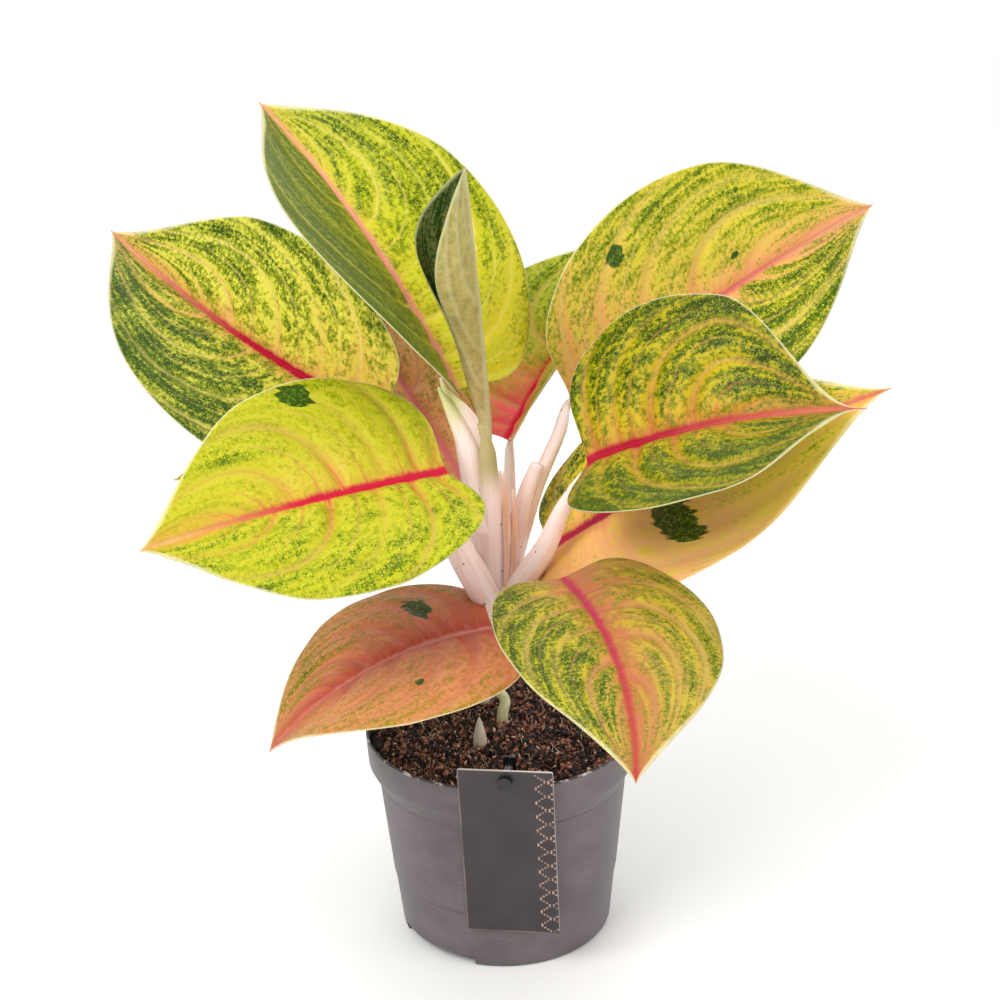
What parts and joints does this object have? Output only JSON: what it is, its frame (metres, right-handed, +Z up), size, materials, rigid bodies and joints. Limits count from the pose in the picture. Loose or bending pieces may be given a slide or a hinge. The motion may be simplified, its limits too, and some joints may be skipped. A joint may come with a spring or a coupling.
{
  "type": "potted chinese evergreen",
  "caption": "Potted Chinese evergreen: variegated oval leaves on pale stalks, in a round plastic nursery pot of peat with a plain card tag on a peg.",
  "frame": {"origin": "middle of the pot's underside, on the surface it stands on", "axes": "+Z up; -Y towards the side the tag hangs on; +X to the right when the tag is seen from the front"},
  "size_m": [0.3591, 0.358, 0.3583],
  "materials": {
    "pot": "satin dark grey moulded plastic, lightly scuffed",
    "soil": "moist dark brown peat with reddish fibres",
    "stalk": "smooth, pale pink, slightly waxy",
    "green_blade": "glossy yellow-green leaf with dark green mottling and pink to crimson veins",
    "rose_blade": "glossy rose and tan leaf with green mottling and pink veins",
    "young_blade": "smooth furled leaf, sage outside and dark green inside",
    "sprout": "smooth ivory shoot",
    "root": "smooth pale yellow-green root",
    "card": "black laminated card with a printed gold ornament strip",
    "peg": "dark smoky plastic"
  },
  "bodies": {
    "root": {"pot": "pot", "soil": "soil", "stems": "stalk", "sprout": "sprout", "aerial_root": "root", "tag": "card", "tag_peg": "peg", "leaf_01": "green_blade", "leaf_02": "young_blade", "leaf_03": "green_blade", "leaf_04": "green_blade", "leaf_05": "green_blade", "leaf_06": "green_blade", "leaf_07": "rose_blade", "leaf_08": "green_blade", "leaf_09": "rose_blade", "leaf_10": "green_blade", "leaf_11": "rose_blade", "leaf_12": "green_blade"}
  },
  "joints": []
}
